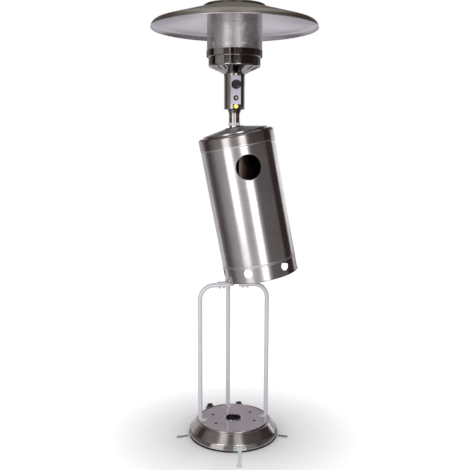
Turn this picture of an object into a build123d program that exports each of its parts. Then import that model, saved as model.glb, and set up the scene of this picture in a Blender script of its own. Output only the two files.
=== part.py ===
"""Gas patio heater on a round base, with a bottle cover that slides and tips on the pole.

The cover is modelled raised, tipped and hooked on the hub, as it stands while the bottle is changed.
Millimetres, +Z up, origin on the floor on the pole's axis, controls facing -Y.
"""
import os
from math import cos, radians, sin, sqrt, tan

from build123d import *

os.makedirs("parts", exist_ok=True)

# Clearances
fit = 0.3  # between pieces that are put together or stay clear of each other
weld = 0.1  # between a tube and the sleeve it is joined in
run = 0.06  # radial clearance of a shaft that turns or slides in its hole
sheet = 1.2  # wall of the spun and folded steel parts

# Base
base_r = 227.2
band_top = 36.0  # top of the upright band round the base
skirt_bottom = 2.3
ledge_r = 193.0  # outer edge of the ledge that the lowered cover stands on
ledge_z = 80.0
bead_r = 184.2  # raised ring that centres the lowered cover
bead_width = 6.0
plate_top = 84.0
plate_hole_r = 40.0
plate_lip = 4.0
seat_bend = 1.4  # bend between the raised ring and the flange under the plate
seat_r = 134.0  # inner edge of that flange
vent_hole_r = 8.0
vent_hole_x = 100.5
vent_hole_y = 55.0
trim_width = 5.5
trim_proud = 3.0  # how far the edge strip stands out from the band
trim_height = 6.0

# Bottle frame
post_r = 174.5
post_tube_r = 11.0
post_wall = 1.5
post_bend = 72.0
post_angles = {"post_right": 0, "post_back": 90, "post_left": 180}
foot_t = 3.0
foot_half = 13.0
foot_bolt_r = 150.0
arm_start = 30.0
bolt_m8 = 4.0
bolt_m6 = 3.0
hub_t = 4.0
hub_finger_end = 86.0
hub_bolt_radii = (50.0, 72.0)
flange_t = 4.0
flange_r = 44.0
flange_top = 818.3

# Pole and head
pole_r = 25.4
pole_wall = 1.5
pole_in_neck = 38.0
neck_height = 66.0
neck_straight = 45.0
neck_flare_r = 36.0
neck_screw_up = 31.0
neck_rim = 12.0
housing_r = 51.0
housing_height = 169.0
panel_half = 25.0
panel_up = 22.0  # from the foot of the housing to the panel
panel_height = 138.0
panel_depth = 44.6  # from the pole's axis to the front face of the panel
panel_flange = 14.0
panel_tab = 3.0
notch_half = 16.0
bowl_collar = 10.0
bowl_r = 127.0
bowl_slope_height = 34.0
bowl_side_height = 46.5
bowl_flange_r = 136.6
slot_pitch = 18.0
slot_long = 34.0
slot_wide = 9.0
slot_r = 103.0
screen_r = 134.8
screen_wall = 1.0
screen_height = 201.5
band_height = 28.5
reflector_r = 406.0
reflector_bend = 29.0
reflector_slope = 16.3
reflector_bead = 2.4
spacer_length = 26.7
cap_r = 153.5
cap_height = 11.5
cap_rise = 7.0
cap_flat_r = 60.0
cap_edge_bend = 8.0
cap_crown_bend = 40.0
stud_circle = 100.0

# Gas and ignition parts
knob_up = 94.5  # from the foot of the panel
knob_r = 22.0
knob_deep = 25.0
knob_travel = 4.0
spindle_r = 4.0
rod_r = 2.0
button_up = 30.5  # from the foot of the panel
button_r = 5.0
button_travel = 6.0
inlet_r = 10.2
pipe_r = 5.0
pipe_back = 8.0
lead_y = -23.0
lead_reach = 6.0
lead_plate_width = 44.0
tube_r = 13.5
drum_r = 95.0
drum_up = 15.0  # from the bowl's flange to the burner drum
drum_h = 34.0

# Bottle cover, in its own frame: the origin is the lid's hole, z runs up the cover
cover_tilt = 11.0
cover_r = 187.3
cover_wall = 0.8
cover_len = 753.4
shoulder_drop = 28.0
shoulder_bend = 15.0
cap_skirt = 84.0
cap_open_r = 150.0
lid_r = 161.5
lid_lip = 8.0
lid_flat_r = 50.0
lid_hole_r = 41.0
hem_r = 1.6
bead_bump = 1.1
bead_drop = 90.0
bead_ups = (82.4, 75.4)  # from the hem
hand_drop = 193.0
hand_r = 64.0
vent_up = 48.9
vent_r = 22.5
vents = 6
grommet_r = 47.5
grommet_hole_r = 28.0
grommet_half = 3.5
ring_r = 30.0
ring_height = 13.5

# Wheels and floor anchors
wheel_x = 83.0
wheel_reach = 62.8  # from the skirt to the axle
wheel_z = 26.0
wheel_r = 24.0
wheel_width = 28.0
axle_r = 4.0
bracket_arm_x = 64.0
bracket_t = 3.0
bracket_low = 9.0
bracket_high = 33.0
anchor_angles = {"anchor_front": -92, "anchor_right": -19, "anchor_left": 180}
anchor_swings = {"anchor_front": -9.5, "anchor_right": -10, "anchor_left": 8}
anchor_reaches = {"anchor_front": 136.0, "anchor_right": 38.0, "anchor_left": 50.0}
anchor_root = 6.0  # from the strap's upright leg to the point that its flat part is swung about
anchor_t = 3.0
anchor_half = 10.0
anchor_neck = 6.5
eye_r = 14.0
eye_hole_r = 7.0
anchor_screw_x = 21.5
side_screw_z = 21.5
side_screw_r = 2.5

# Heights and places that follow from the sizes above
vent_drop = cover_len - vent_up
bead_drops = (bead_drop,) + tuple(cover_len - up for up in bead_ups)
wheel_y = base_r + wheel_reach
seat_z = plate_top - sheet
foot_top = plate_top + foot_t
bead_top = foot_top - fit
anchor_plate_t = trim_proud
hub_plate_top = flange_top - flange_t
arm_top = hub_plate_top - hub_t
arm_z = arm_top - post_tube_r
plate_r = bead_r - bead_width - seat_bend - fit
tilt = radians(cover_tilt)
hem_ring_r = cover_r - cover_wall + hem_r
pivot_z = flange_top + fit + hem_r + (cover_len - hem_r) * cos(tilt) + hem_ring_r * sin(tilt)
cover_frame = Plane(origin=(0, 0, pivot_z), x_dir=(cos(tilt), 0, sin(tilt)), z_dir=(-sin(tilt), 0, cos(tilt)))
ring_bottom = pivot_z + grommet_half * cos(tilt) + ring_r * sin(tilt) + fit
neck_r = pole_r + weld + sheet
neck_bottom = ring_bottom + ring_height + fit
pole_top = neck_bottom + pole_in_neck
neck_screw_z = neck_bottom + neck_screw_up
housing_bottom = neck_bottom + neck_height
housing_top = housing_bottom + housing_height
panel_bottom = housing_bottom + panel_up
knob_z = panel_bottom + knob_up
button_z = panel_bottom + button_up
inlet_z = housing_bottom + sheet + fit + inlet_r
support_z = panel_bottom + panel_height + panel_tab + fit
bowl_bottom = housing_top + fit
bowl_side_z = bowl_bottom + bowl_slope_height
bowl_top = bowl_side_z + bowl_side_height
bowl_flange_top = bowl_top + sheet
drum_z = bowl_flange_top + drum_up
screen_top = bowl_flange_top + screen_height
reflector_centre = screen_top + spacer_length + sheet
reflector_corner = reflector_centre - (reflector_r - cap_r) * tan(radians(reflector_slope))
reflector_rim = reflector_corner - reflector_bend * tan(radians(45 - reflector_slope / 2)) - fit
front = -90


def save(part, name):
    """Labels a finished piece and writes its STEP file."""
    part.part.label = name
    export_step(part.part, f"parts/{name}.step")


def radial_plane(frame, azimuth, radius, height):
    """A plane on the side of a round part, facing outwards, with its y axis up the part."""
    a = radians(azimuth)
    outward = frame.x_dir * cos(a) + frame.y_dir * sin(a)
    origin = frame.origin + outward * radius + frame.z_dir * height
    return Plane(origin=origin, x_dir=frame.z_dir.cross(outward), z_dir=outward)


def turned_plane(frame, azimuth):
    """The half plane through the part's axis at one azimuth: x runs outwards and y up the part."""
    a = radians(azimuth)
    outward = frame.x_dir * cos(a) + frame.y_dir * sin(a)
    return Plane(origin=frame.origin, x_dir=outward, z_dir=outward.cross(frame.z_dir))


def polar(radius, azimuth):
    """x and y of a point at a radius and azimuth."""
    return radius * cos(radians(azimuth)), radius * sin(radians(azimuth))


def spun_sheet(points, radii, wall, frame=Plane.XY):
    """A turned sheet: its outer line of (r, z) points with rounded corners, given a wall to its left."""
    with BuildPart() as spun:
        with BuildSketch(turned_plane(frame, 0)):
            with BuildLine():
                FilletPolyline(*points, radius=radii)
                offset(amount=wall, side=Side.LEFT)
            make_face()
        revolve(axis=Axis(frame.origin, frame.z_dir))
    return spun.part


def tube(outer, inner, bottom, top):
    """An upright tube on the pole's axis."""
    with BuildPart() as made:
        with BuildSketch(Plane.XY.offset(bottom)):
            Circle(outer)
            Circle(inner, mode=Mode.SUBTRACT)
        extrude(amount=top - bottom)
    return made.part


def side_hole(frame, azimuth, radius, height, hole_r, depth):
    """Cuts a round hole from outside, from a little past the radius inwards, in the part being built."""
    with Locations(radial_plane(frame, azimuth, radius - depth, height)):
        Cylinder(hole_r, depth + 5, align=(Align.CENTER, Align.CENTER, Align.MIN), mode=Mode.SUBTRACT)


# Base: a spun skirt with a ledge and a raised ring, a flat plate in it, and a rubber edge on the floor
def make_base():
    skirt = [
        (base_r, skirt_bottom),
        (base_r, band_top),
        (ledge_r, ledge_z),
        (bead_r, ledge_z),
        (bead_r, bead_top),
        (bead_r - bead_width, bead_top),
        (bead_r - bead_width, seat_z),
        (seat_r, seat_z),
    ]
    with BuildPart() as shell:
        add(spun_sheet(skirt, [8, 3, 1.5, 2.4, 2.4, seat_bend], sheet))
        for angle in post_angles.values():
            with Locations((*polar(foot_bolt_r, angle), seat_z)):
                Cylinder(bolt_m8 + fit, 6 * sheet, mode=Mode.SUBTRACT)
        for azimuth in side_screw_azimuths():
            side_hole(Plane.XY, azimuth, base_r, side_screw_z, side_screw_r + weld, 4 * sheet)
    save(shell, "base_shell")

    lip_out = plate_hole_r + plate_lip
    with BuildPart() as plate:
        with BuildSketch(Plane.XZ):
            with BuildLine():
                Polyline(
                    (plate_hole_r, plate_top + 0.5),
                    (plate_hole_r, seat_z),
                    (plate_r, seat_z),
                    (plate_r, plate_top),
                    (lip_out + 2, plate_top),
                )
                Line((lip_out + 2, plate_top), (lip_out, plate_top + 1.5))
                ThreePointArc(
                    (lip_out, plate_top + 1.5),
                    (plate_hole_r + plate_lip / 2, plate_top + plate_lip - 0.6),
                    (plate_hole_r, plate_top + 0.5),
                )
            make_face()
        revolve(axis=Axis.Z)
        with Locations((0, 0, seat_z)):
            with GridLocations(2 * vent_hole_x, 2 * vent_hole_y, 2, 2):
                Cylinder(vent_hole_r, 6 * sheet, mode=Mode.SUBTRACT)
            with Locations(*[polar(foot_bolt_r, angle) for angle in post_angles.values()]):
                Cylinder(bolt_m8 + fit, 6 * sheet, mode=Mode.SUBTRACT)
    save(plate, "base_plate")

    trim_out = base_r + trim_proud
    with BuildPart() as trim:
        with BuildSketch(Plane.XZ):
            with BuildLine():
                Polyline(
                    (trim_out - trim_width, 0),
                    (trim_out, 0),
                    (trim_out, trim_height),
                    (base_r + weld, trim_height),
                    (base_r + weld, skirt_bottom - weld),
                    (base_r - sheet - weld, skirt_bottom - weld),
                    (base_r - sheet - weld, trim_height),
                    (trim_out - trim_width, trim_height),
                    close=True,
                )
            make_face()
        revolve(axis=Axis.Z)
    save(trim, "base_edge_trim")


def side_screw_azimuths():
    """Azimuths of the screws in the base's band: two for each anchor and two for the wheel bracket."""
    step = anchor_screw_x / base_r * 180 / 3.14159265
    places = [angle + side * step for angle in anchor_angles.values() for side in (-1, 1)]
    return places + [90 + side * step for side in (-1, 1)]


def make_side_screws():
    """Dome-headed screws through the anchor plates and the wheel bracket's web."""
    with BuildPart() as screws:
        azimuths = side_screw_azimuths()
        for azimuth in azimuths:
            t = bracket_t if azimuth in azimuths[-2:] else anchor_plate_t
            with Locations(radial_plane(Plane.XY, azimuth, base_r + fit + t, side_screw_z)):
                Cone(5, 2.6, 3, align=(Align.CENTER, Align.CENTER, Align.MIN))
            with Locations(radial_plane(Plane.XY, azimuth, base_r - 3 * sheet, side_screw_z)):
                length = 3 * sheet + fit + t
                Cylinder(side_screw_r, length, align=(Align.CENTER, Align.CENTER, Align.MIN))
    save(screws, "base_screws")


# Bottle frame: three bent tubes from the base plate to the hub, open at the front for the bottle
def make_post(name, angle):
    frame = Plane(origin=(0, 0, 0), x_dir=(*polar(1, angle), 0), z_dir=(0, 0, 1))
    side = turned_plane(frame, 0)
    with BuildPart() as post:
        with BuildLine(side):
            FilletPolyline((post_r, foot_top), (post_r, arm_z), (arm_start, arm_z), radius=post_bend)
        with BuildSketch(Plane(origin=(*polar(post_r, angle), foot_top), x_dir=frame.x_dir, z_dir=(0, 0, 1))):
            Circle(post_tube_r)
            Circle(post_tube_r - post_wall, mode=Mode.SUBTRACT)
        sweep()
        with BuildSketch(Plane(origin=(0, 0, plate_top), x_dir=frame.x_dir, z_dir=(0, 0, 1))):
            with Locations(((foot_bolt_r + plate_r) / 2, 0)):
                Rectangle(plate_r - foot_bolt_r, 2 * foot_half)
            with Locations((foot_bolt_r, 0)):
                Circle(foot_half)
                Circle(bolt_m8 + fit, mode=Mode.SUBTRACT)
        extrude(amount=foot_t)
        with BuildSketch(Plane(origin=(0, 0, arm_z - 2 * post_tube_r), x_dir=frame.x_dir, z_dir=(0, 0, 1))):
            with Locations(*[(r, 0) for r in hub_bolt_radii]):
                Circle(bolt_m6 + fit)
        extrude(amount=4 * post_tube_r, mode=Mode.SUBTRACT)
    save(post, name)


def make_foot_bolts():
    """A hex bolt and a nut at each post's foot."""
    with BuildPart() as bolts:
        for angle in post_angles.values():
            spot = polar(foot_bolt_r, angle)
            with BuildSketch(Plane.XY.offset(foot_top)):
                with Locations(spot):
                    RegularPolygon(7.0, 6)
            extrude(amount=5.3)
            with BuildSketch(Plane.XY.offset(seat_z - sheet - 9)):
                with Locations(spot):
                    Circle(bolt_m8)
            extrude(amount=foot_top - (seat_z - sheet - 9))
    save(bolts, "foot_bolts")
    with BuildPart() as nuts:
        for angle in post_angles.values():
            with BuildSketch(Plane.XY.offset(seat_z - sheet - 6.5)):
                with Locations(polar(foot_bolt_r, angle)):
                    RegularPolygon(7.0, 6)
                    Circle(bolt_m8, mode=Mode.SUBTRACT)
            extrude(amount=6.5)
    save(nuts, "foot_nuts")


def make_hub():
    """The three-fingered plate on the arms, its stub tube inside the pole, and the bolts through the arms."""
    stub_out = pole_r - pole_wall - weld
    with BuildPart() as hub:
        with BuildSketch(Plane.XY.offset(arm_top)):
            Circle(flange_r)
            for angle in post_angles.values():
                with Locations(polar(hub_finger_end / 2, angle)):
                    Rectangle(hub_finger_end, 2 * foot_half, rotation=angle)
            fillet(vertices().sort_by_distance((0, 0))[-6:], 6)
            Circle(stub_out - 3, mode=Mode.SUBTRACT)
            for angle in post_angles.values():
                with Locations(*[polar(r, angle) for r in hub_bolt_radii]):
                    Circle(bolt_m6 + weld, mode=Mode.SUBTRACT)
        extrude(amount=hub_t)
        with BuildSketch(Plane.XY.offset(arm_top)):
            Circle(stub_out)
            Circle(stub_out - 3, mode=Mode.SUBTRACT)
        extrude(amount=hub_t + 3 * pole_r)
    save(hub, "hub")

    spots = [polar(r, angle) for angle in post_angles.values() for r in hub_bolt_radii]
    with BuildPart() as bolts:
        for spot in spots:
            with Locations((*spot, hub_plate_top)):
                Cone(5.2, 3.4, flange_t - 0.8, align=(Align.CENTER, Align.CENTER, Align.MIN))
            with Locations((*spot, hub_plate_top)):
                shank = hub_t + 2 * post_tube_r + 8
                Cylinder(bolt_m6, shank, align=(Align.CENTER, Align.CENTER, Align.MAX))
    save(bolts, "hub_bolts")
    with BuildPart() as nuts:
        with BuildSketch(Plane.XY.offset(arm_z - post_tube_r)):
            with Locations(*spots):
                RegularPolygon(5.6, 6)
                Circle(bolt_m6, mode=Mode.SUBTRACT)
        extrude(amount=-5)
    save(nuts, "hub_nuts")


# Pole: a tube in a flange on the hub, and the loose ring that rides above the cover
def make_pole():
    with BuildPart() as flange:
        add(tube(flange_r, pole_r + weld, hub_plate_top, flange_top))
        fillet(flange.edges().filter_by(GeomType.CIRCLE).sort_by(SortBy.RADIUS)[-1], flange_t / 3)
    save(flange, "pole_flange")
    with BuildPart() as pole:
        add(tube(pole_r, pole_r - pole_wall, hub_plate_top, pole_top))
        for azimuth in neck_screw_azimuths():
            side_hole(Plane.XY, azimuth, pole_r, neck_screw_z, 2 + weld, 4 * pole_wall)
    save(pole, "pole")
    with BuildPart() as ring:
        add(tube(ring_r, neck_r + fit, ring_bottom, ring_bottom + ring_height))
        fillet(ring.faces().filter_by(GeomType.CYLINDER).sort_by(SortBy.AREA)[-1].edges().filter_by(GeomType.CIRCLE), 0.8)
    save(ring, "pole_ring")


def neck_screw_azimuths():
    """Four screws a quarter turn apart, set off from the front."""
    return [35 + 90 * k for k in range(4)]


# Head: a flared neck on the pole, and the round control housing that stands in its rim
def make_neck():
    rim_r = housing_r - sheet - weld
    line = [
        (neck_r, neck_bottom),
        (neck_r, neck_bottom + neck_straight),
        (neck_flare_r, housing_bottom),
        (rim_r, housing_bottom),
        (rim_r, housing_bottom + neck_rim),
    ]
    with BuildPart() as neck:
        add(spun_sheet(line, [25, 8, 2], sheet))
        for azimuth in neck_screw_azimuths():
            side_hole(Plane.XY, azimuth, neck_r, neck_screw_z, 2 + weld, 4 * sheet)
        for azimuth in housing_screw_azimuths():
            side_hole(Plane.XY, azimuth, rim_r, housing_bottom + neck_rim / 2, 2 + weld, 4 * sheet)
        with BuildSketch(Plane.XZ):
            with Locations((0, housing_bottom + sheet + neck_rim)):
                Rectangle(2 * notch_half, 2 * neck_rim)
        extrude(amount=housing_r, mode=Mode.SUBTRACT)
    save(neck, "head_neck")
    screws = round_screws(neck_screw_azimuths(), neck_r, neck_screw_z, 2 * sheet + fit)
    save(screws, "neck_screws")


def housing_screw_azimuths():
    """Four screws round the foot of the housing."""
    return [45 + 90 * k for k in range(4)]


def round_screws(azimuths, radius, height, depth):
    """Small dome-headed screws standing on a tube."""
    with BuildPart() as screws:
        for azimuth in azimuths:
            with Locations(radial_plane(Plane.XY, azimuth, radius, height)):
                Cone(3.6, 1.8, 2.4, align=(Align.CENTER, Align.CENTER, Align.MIN))
                Cylinder(2, depth, align=(Align.CENTER, Align.CENTER, Align.MAX))
    return screws


def make_housing():
    with BuildPart() as housing:
        add(tube(housing_r, housing_r - sheet, housing_bottom, housing_top))
        with BuildSketch(Plane.XZ):
            with Locations((0, panel_bottom - fit)):
                Rectangle(2 * (panel_half + fit), panel_height + 2 * fit, align=(Align.CENTER, Align.MIN))
            with Locations((0, housing_bottom - 1)):
                Rectangle(2 * notch_half, panel_up + 1, align=(Align.CENTER, Align.MIN))
        extrude(amount=housing_r + 1, mode=Mode.SUBTRACT)
        for azimuth in housing_screw_azimuths():
            side_hole(Plane.XY, azimuth, housing_r, housing_bottom + neck_rim / 2, 2 + weld, 3 * sheet)
    save(housing, "control_housing")
    screws = round_screws(housing_screw_azimuths(), housing_r, housing_bottom + neck_rim / 2, 2 * sheet + fit)
    save(screws, "housing_screws")

    with BuildPart() as panel:
        with BuildSketch(Plane.XY.offset(panel_bottom)):
            with BuildLine():
                FilletPolyline(
                    (panel_half, panel_flange - panel_depth),
                    (panel_half, -panel_depth),
                    (-panel_half, -panel_depth),
                    (-panel_half, panel_flange - panel_depth),
                    radius=2,
                )
                offset(amount=sheet, side=Side.RIGHT)
            make_face()
        extrude(amount=panel_height)
        tab_half = sqrt((housing_r - sheet - fit) ** 2 - panel_depth**2)
        with BuildSketch(Plane.XZ.offset(panel_depth)):
            with Locations((0, panel_bottom + panel_height - 6)):
                Rectangle(2 * tab_half, panel_tab + 6, align=(Align.CENTER, Align.MIN))
        extrude(amount=-sheet)
        with BuildSketch(Plane.XZ.offset(panel_depth + 1)):
            with Locations((0, knob_z)):
                Circle(spindle_r + 2)
            with Locations((0, button_z)):
                Circle(2 * button_r - 1 + weld)
        extrude(amount=-3 * sheet, mode=Mode.SUBTRACT)
    save(panel, "control_panel")


# Burner bowl: spun, with a collar over the housing, air slots in its slope and a flange for the screen
def make_bowl():
    line = [
        (housing_r + weld + sheet, bowl_bottom - bowl_collar),
        (housing_r + weld + sheet, bowl_bottom),
        (bowl_r, bowl_side_z),
        (bowl_r, bowl_top),
        (bowl_flange_r, bowl_top),
    ]
    with BuildPart() as bowl:
        add(spun_sheet(line, [3, 7, 2.5], sheet))
        slots = [front + slot_pitch * k for k in range(2, int(360 / slot_pitch) - 1)]
        with BuildSketch(Plane.XY.offset(bowl_bottom - 2)):
            for azimuth in slots:
                with Locations(Location((*polar(slot_r, azimuth), 0), (0, 0, azimuth))):
                    SlotOverall(slot_long, slot_wide)
            with Locations(polar(1.15 * slot_r, front - 6.5), polar(1.15 * slot_r, front + 6.5)):
                Circle(3.5)
        extrude(amount=bowl_side_z - bowl_bottom + 6, mode=Mode.SUBTRACT)
    save(bowl, "burner_bowl")

    inner = screen_r + fit
    with BuildPart() as band:
        with BuildSketch(Plane.XY.offset(bowl_flange_top)):
            Circle(inner + sheet)
            Circle(inner, mode=Mode.SUBTRACT)
        extrude(amount=band_height)
        with BuildSketch(radial_plane(Plane.XY, 170, inner + sheet / 2, bowl_flange_top)):
            Rectangle(12, band_height, align=(Align.CENTER, Align.MIN))
        extrude(amount=sheet / 2 + 1)
    save(band, "burner_band")

    with BuildPart() as screen:
        add(tube(screen_r, screen_r - screen_wall, bowl_flange_top, screen_top))
    save(screen, "emitter_screen")

    cap_out = screen_r - screen_wall - weld
    line = [(cap_out, screen_top - 14), (cap_out, screen_top), (0, screen_top)]
    with BuildPart() as cap:
        add(spun_sheet(line, 3, sheet))
        with PolarLocations(stud_circle, 3, start_angle=30):
            with Locations((0, 0, screen_top)):
                Cylinder(bolt_m6 + weld, 6 * sheet, mode=Mode.SUBTRACT)
    save(cap, "screen_cap")


# Reflector: one spun dish with a rolled rim, a domed cap over its middle, carried by three studs
def make_reflector():
    line = [
        (reflector_r, reflector_rim),
        (reflector_r, reflector_corner),
        (cap_r, reflector_centre),
        (0, reflector_centre),
    ]
    with BuildPart() as dish:
        add(spun_sheet(line, [reflector_bend, 20], sheet))
        with BuildSketch(Plane.XZ):
            with Locations((reflector_r - sheet / 2, reflector_rim)):
                Circle(reflector_bead)
        revolve(axis=Axis.Z)
        with PolarLocations(stud_circle, 3, start_angle=30):
            with Locations((0, 0, reflector_centre)):
                Cylinder(bolt_m6 + weld, 8 * sheet, mode=Mode.SUBTRACT)
    save(dish, "reflector")

    foot = reflector_centre + fit
    top = foot + cap_height
    line = [(cap_r, foot), (cap_r, top), (cap_flat_r, top + cap_rise), (0, top + cap_rise)]
    with BuildPart() as cap:
        add(spun_sheet(line, [cap_edge_bend, cap_crown_bend], sheet))
        with PolarLocations(stud_circle, 3, start_angle=30):
            with Locations((0, 0, top)):
                Cylinder(bolt_m6 + weld, 12 * sheet, mode=Mode.SUBTRACT)
    save(cap, "reflector_cap")

    nut_z = top + cap_rise + fit
    with BuildPart() as studs:
        with PolarLocations(stud_circle, 3, start_angle=30):
            with Locations((0, 0, screen_top - sheet - 6)):
                Cylinder(bolt_m6, nut_z + 8 - screen_top + sheet + 6, align=(Align.CENTER, Align.CENTER, Align.MIN))
    save(studs, "reflector_studs")
    with BuildPart() as spacers:
        with BuildSketch(Plane.XY.offset(screen_top)):
            with PolarLocations(stud_circle, 3, start_angle=30):
                Circle(6)
                Circle(bolt_m6 + weld, mode=Mode.SUBTRACT)
        extrude(amount=spacer_length)
    save(spacers, "stud_spacers")
    with BuildPart() as nuts:
        with BuildSketch(Plane.XY.offset(nut_z)):
            with PolarLocations(stud_circle, 3, start_angle=30):
                Circle(5.5)
                Circle(bolt_m6 + weld, mode=Mode.SUBTRACT)
        extrude(amount=6)
        with BuildSketch(Plane.XY.offset(nut_z + 2)):
            with PolarLocations(stud_circle, 3, start_angle=30):
                with Locations((0, 9), (0, -9)):
                    Rectangle(2.4, 8)
        extrude(amount=8)
    save(nuts, "wing_nuts")


# Valve, knob and igniter behind the panel
def facing(depth, height, x=0.0):
    """A plane that faces -Y at a distance in front of the pole's axis."""
    return Plane(origin=(x, -depth, height), x_dir=(1, 0, 0), z_dir=(0, -1, 0))


def make_valve():
    back = panel_depth - sheet
    with BuildPart() as valve:
        with BuildSketch(facing(back - 2, knob_z)):
            RectangleRounded(34, 40, 4)
        extrude(amount=-50)
        with BuildSketch(facing(back, knob_z)):
            Circle(14)
        extrude(amount=-4)
        with BuildSketch(Plane.XY.offset(knob_z)):
            Circle(11 - weld)
        extrude(amount=support_z + sheet - knob_z)
        with BuildSketch(Plane(origin=(0, pipe_back, knob_z - 32))):
            Circle(9)
        extrude(amount=20)
        with BuildSketch(facing(back + 1, knob_z)):
            Circle(spindle_r + run)
        extrude(amount=-20, mode=Mode.SUBTRACT)
        with BuildSketch(facing(back, knob_z)):
            Circle(rod_r + run)
        extrude(amount=-40, mode=Mode.SUBTRACT)
        with BuildSketch(Plane(origin=(0, pipe_back, knob_z - 33))):
            Circle(pipe_r + weld)
        extrude(amount=12, mode=Mode.SUBTRACT)
    save(valve, "valve_body")

    knob_back = panel_depth + knob_travel + 1.5
    knob_face = knob_back + knob_deep
    bore_end = knob_face - 4
    with BuildPart() as spindle:
        with BuildSketch(facing(bore_end, knob_z)):
            Circle(spindle_r)
            Circle(rod_r + run, mode=Mode.SUBTRACT)
        extrude(amount=-(bore_end - back + 20 - knob_travel - 3))
    save(spindle, "valve_spindle")
    with BuildPart() as rod:
        with BuildSketch(facing(bore_end - 1, knob_z)):
            Circle(rod_r)
        extrude(amount=-(bore_end - 1 - back + 40 - knob_travel - 3))
    save(rod, "valve_push_rod")

    with BuildPart() as knob:
        with BuildSketch(facing(knob_back, knob_z)):
            Circle(knob_r)
        extrude(amount=7)
        with BuildSketch(facing(knob_back, knob_z)):
            Circle(knob_r - 2.5)
            with PolarLocations(knob_r - 2.0, 18):
                Circle(1.5, mode=Mode.SUBTRACT)
        extrude(amount=knob_deep)
        with BuildSketch(facing(knob_back, knob_z)):
            Circle(spindle_r + weld)
        extrude(amount=bore_end - knob_back + weld, mode=Mode.SUBTRACT)
        with BuildSketch(facing(knob_face + 1, knob_z)):
            with Locations(polar(12, -68)):
                Circle(2 + weld)
        extrude(amount=-3, mode=Mode.SUBTRACT)
    save(knob, "knob")
    with BuildPart() as dot:
        with BuildSketch(facing(knob_face - 2 + weld, knob_z)):
            with Locations(polar(12, -68)):
                Circle(2)
        extrude(amount=2.2)
    save(dot, "knob_dot")


def make_igniter():
    back = panel_depth - sheet
    barrel = 2 * button_r - 1
    bezel = 3.0
    with BuildPart() as body:
        with BuildSketch(facing(panel_depth + bezel, button_z)):
            Circle(2.5 * button_r)
        extrude(amount=-bezel)
        with BuildSketch(facing(panel_depth, button_z)):
            Circle(barrel)
        extrude(amount=-36)
        with BuildSketch(facing(back - weld, button_z)):
            Circle(barrel + 2)
        extrude(amount=-4)
        with BuildSketch(facing(panel_depth + bezel + 1, button_z)):
            Circle(button_r + run)
        extrude(amount=-(bezel + 1 + 24), mode=Mode.SUBTRACT)
    save(body, "igniter_body")
    out = panel_depth + bezel + button_travel + 1
    with BuildPart() as button:
        with BuildSketch(facing(out, button_z)):
            Circle(button_r)
        extrude(amount=-(out - panel_depth + 24 - button_travel - 2))
        fillet(button.faces().sort_by(Axis.Y)[0].edges(), 1.5)
    save(button, "igniter_button")


def make_gas_line():
    """Brass inlet at the foot of the housing, and the pipe that bends back behind the igniter to the valve."""
    with BuildPart() as inlet:
        with BuildSketch(facing(panel_depth + 4.5, inlet_z)):
            Circle(inlet_r)
        extrude(amount=-7)
        with BuildSketch(facing(panel_depth, inlet_z)):
            RegularPolygon(inlet_r - 2, 6)
        extrude(amount=-14)
        with BuildSketch(Plane(origin=(0, 8 - panel_depth, inlet_z))):
            Circle(pipe_r + 1.4)
        extrude(amount=11)
        with BuildSketch(Plane(origin=(0, 8 - panel_depth, inlet_z + 6))):
            Circle(pipe_r + weld)
        extrude(amount=10, mode=Mode.SUBTRACT)
        with BuildSketch(facing(panel_depth + 6, inlet_z)):
            Circle(3)
        extrude(amount=-8, mode=Mode.SUBTRACT)
    save(inlet, "gas_inlet")
    low = inlet_z + 6.2
    bend_z = inlet_z + 21
    top = knob_z - 32 + 10
    start = 8 - panel_depth
    with BuildPart() as pipe:
        with BuildLine(Plane.YZ):
            FilletPolyline((start, low), (start, bend_z), (pipe_back, bend_z), (pipe_back, top), radius=9)
        with BuildSketch(Plane(origin=(0, start, low))):
            Circle(pipe_r)
            Circle(pipe_r - 1.2, mode=Mode.SUBTRACT)
        sweep()
    save(pipe, "gas_pipe")


def make_tilt_switch():
    """The tip-over switch in its saddle on the back of the housing."""
    y = housing_r - sheet - fit - 9
    with BuildPart() as switch:
        with BuildSketch(Plane(origin=(0, y, button_z - 14))):
            Circle(9)
        extrude(amount=28)
        chamfer(switch.edges().filter_by(GeomType.CIRCLE), 1.5)
    save(switch, "tilt_switch")


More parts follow.
